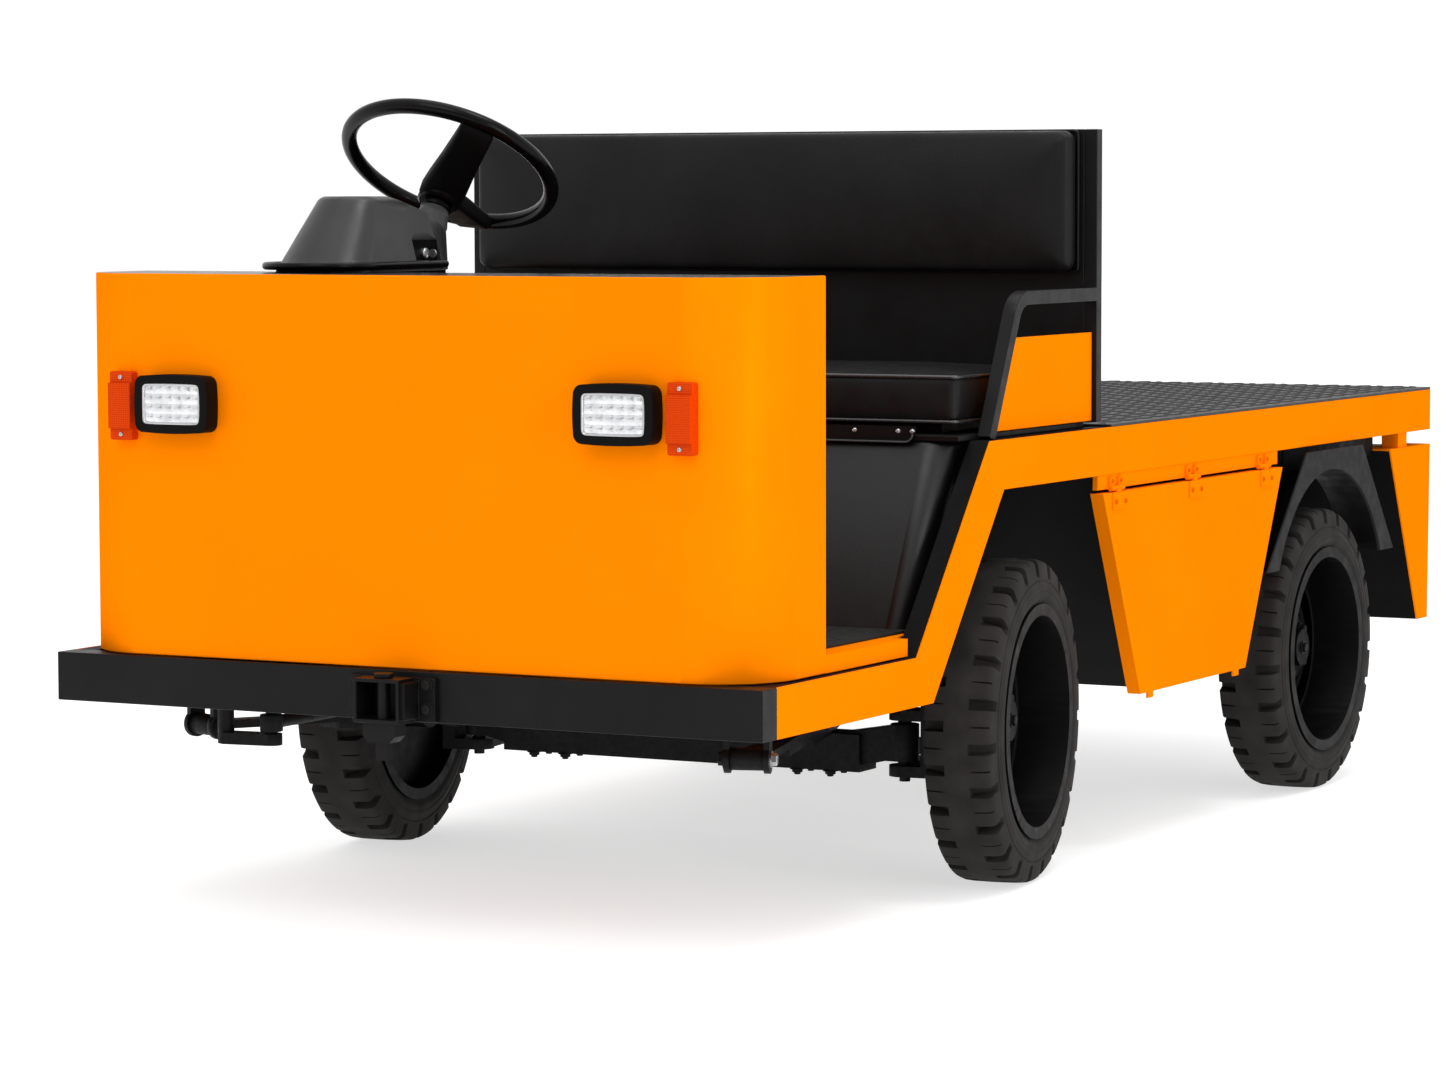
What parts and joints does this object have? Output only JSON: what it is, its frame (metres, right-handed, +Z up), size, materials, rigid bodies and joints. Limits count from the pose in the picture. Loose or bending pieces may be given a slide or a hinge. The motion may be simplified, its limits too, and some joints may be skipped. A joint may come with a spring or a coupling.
{
  "type": "battery platform truck",
  "caption": "Battery platform truck with a bench seat behind a flat cowl, a flat load deck, hinged battery doors, steered front wheels and a tow receiver.",
  "frame": {"origin": "on the floor under the middle of the overall length and width", "axes": "+X forward, +Y to the truck's left, +Z up"},
  "size_m": [2.596, 1.1742, 1.124],
  "materials": {
    "orange_paint": "satin",
    "black_frame": "satin",
    "deck_black": "satin",
    "black_moulding": "satin",
    "grey_moulding": "satin",
    "floor_rubber": "matte",
    "vinyl": "satin",
    "tyre": "matte",
    "rim_paint": "satin",
    "axle_steel": "matte",
    "bright_steel": "satin",
    "lamp_lens": "clear",
    "signal_amber": "gloss",
    "battery_case": "matte"
  },
  "bodies": {
    "chassis": {"side_frames": "black_frame", "floor_frame": "black_frame", "bed_frame": "black_frame", "rear_rails": "black_frame", "bumper": "black_frame", "tow_hitch": "black_frame", "hitch_pin": "black_frame", "side_panels": "orange_paint", "tail_panel": "orange_paint", "deck_plate": "deck_black", "cowl": "orange_paint", "dash": "black_moulding", "floor_pan": "orange_paint", "seat_box": "black_moulding", "seat_base": "black_frame", "seat_cushion": "vinyl", "seat_back": "vinyl", "back_panel": "black_frame", "arm_rails": "black_frame", "arm_panels": "orange_paint", "steering_pod": "grey_moulding", "steering_column": "axle_steel", "pedals": "floor_rubber", "headlamp_bezels": "black_moulding", "headlamp_lenses": "lamp_lens", "signal_lamps": "signal_amber", "battery_tray": "black_frame", "battery": "battery_case", "door_headers": "orange_paint", "arch_flares": "grey_moulding", "rear_guards": "orange_paint", "guard_linings": "black_moulding", "floor_mat": "floor_rubber", "front_axle": "axle_steel", "leaf_springs": "axle_steel", "rear_axle": "axle_steel", "drive_motor": "axle_steel", "steering_box": "axle_steel"},
    "steering_wheel": {"steering_wheel": "black_moulding"},
    "knuckle_left": {"knuckle_left": "axle_steel"},
    "knuckle_right": {"knuckle_right": "axle_steel"},
    "pitman_arm": {"pitman_arm": "axle_steel"},
    "drag_link": {"drag_link": "axle_steel"},
    "tie_rod": {"tie_rod": "axle_steel"},
    "door_left": {"door_left": "orange_paint"},
    "door_right": {"door_right": "orange_paint"},
    "wheel_front_left": {"tyre_front_left": "tyre", "rim_front_left": "rim_paint"},
    "wheel_front_right": {"tyre_front_right": "tyre", "rim_front_right": "rim_paint"},
    "wheel_rear_left": {"tyre_rear_left": "tyre", "rim_rear_left": "rim_paint"},
    "wheel_rear_right": {"tyre_rear_right": "tyre", "rim_rear_right": "rim_paint"}
  },
  "joints": [
    {"name": "steer_left", "type": "hinge", "parent": "chassis", "child": "knuckle_left", "pos_m": [0.439, 0.36, 0.195], "axis": [0, 0, 1], "range_deg": [-32.7, 17.3]},
    {"name": "spin_front_left", "type": "hinge", "parent": "knuckle_left", "child": "wheel_front_left", "pos_m": [0.41904, 0.50766, 0.233], "axis": [-0.134, 0.991, 0], "continuous": true},
    {"name": "spin_rear_left", "type": "hinge", "parent": "chassis", "child": "wheel_rear_left", "pos_m": [-0.752, 0.509, 0.233], "axis": [0, 1, 0], "continuous": true},
    {"name": "door_left_hinge", "type": "hinge", "parent": "chassis", "child": "door_left", "pos_m": [-0.1915, 0.552, 0.5505], "axis": [1, 0, 0], "range_deg": [0, 90]},
    {"name": "steer_right", "type": "hinge", "parent": "chassis", "child": "knuckle_right", "pos_m": [0.439, -0.36, 0.195], "axis": [0, 0, 1], "range_deg": [-32.7, 17.3]},
    {"name": "spin_front_right", "type": "hinge", "parent": "knuckle_right", "child": "wheel_front_right", "pos_m": [0.45896, -0.50766, 0.233], "axis": [-0.134, 0.991, 0], "continuous": true},
    {"name": "spin_rear_right", "type": "hinge", "parent": "chassis", "child": "wheel_rear_right", "pos_m": [-0.752, -0.509, 0.233], "axis": [0, 1, 0], "continuous": true},
    {"name": "door_right_hinge", "type": "hinge", "parent": "chassis", "child": "door_right", "pos_m": [-0.1915, -0.552, 0.5505], "axis": [-1, 0, 0], "range_deg": [0, 90]},
    {"name": "tie_rod_ball", "type": "hinge", "parent": "knuckle_left", "child": "tie_rod", "pos_m": [0.32999, 0.34526, 0.177], "axis": [0, 0, 1], "range_deg": [-17.3, 32.7]},
    {"name": "pitman_turn", "type": "hinge", "parent": "chassis", "child": "pitman_arm", "pos_m": [1.119, -0.36, 0.292], "axis": [0, 0, 1], "range_deg": [-32.7, 17.3]},
    {"name": "drag_link_ball", "type": "hinge", "parent": "pitman_arm", "child": "drag_link", "pos_m": [1.10962, -0.29063, 0.259], "axis": [0, 0, 1], "range_deg": [-17.3, 32.7]},
    {"name": "steering_wheel_turn", "type": "hinge", "parent": "chassis", "child": "steering_wheel", "pos_m": [0.758, -0.225, 0.993], "axis": [-0.5446, 0, 0.8387], "range_deg": [-392.4, 207.6]}
  ],
  "couplings": [
    {"joint": "steer_right", "follows": "steer_left", "ratio": 1},
    {"joint": "tie_rod_ball", "follows": "steer_left", "ratio": -1},
    {"joint": "pitman_turn", "follows": "steer_left", "ratio": 1},
    {"joint": "drag_link_ball", "follows": "steer_left", "ratio": -1},
    {"joint": "steering_wheel_turn", "follows": "steer_left", "ratio": 12}
  ]
}
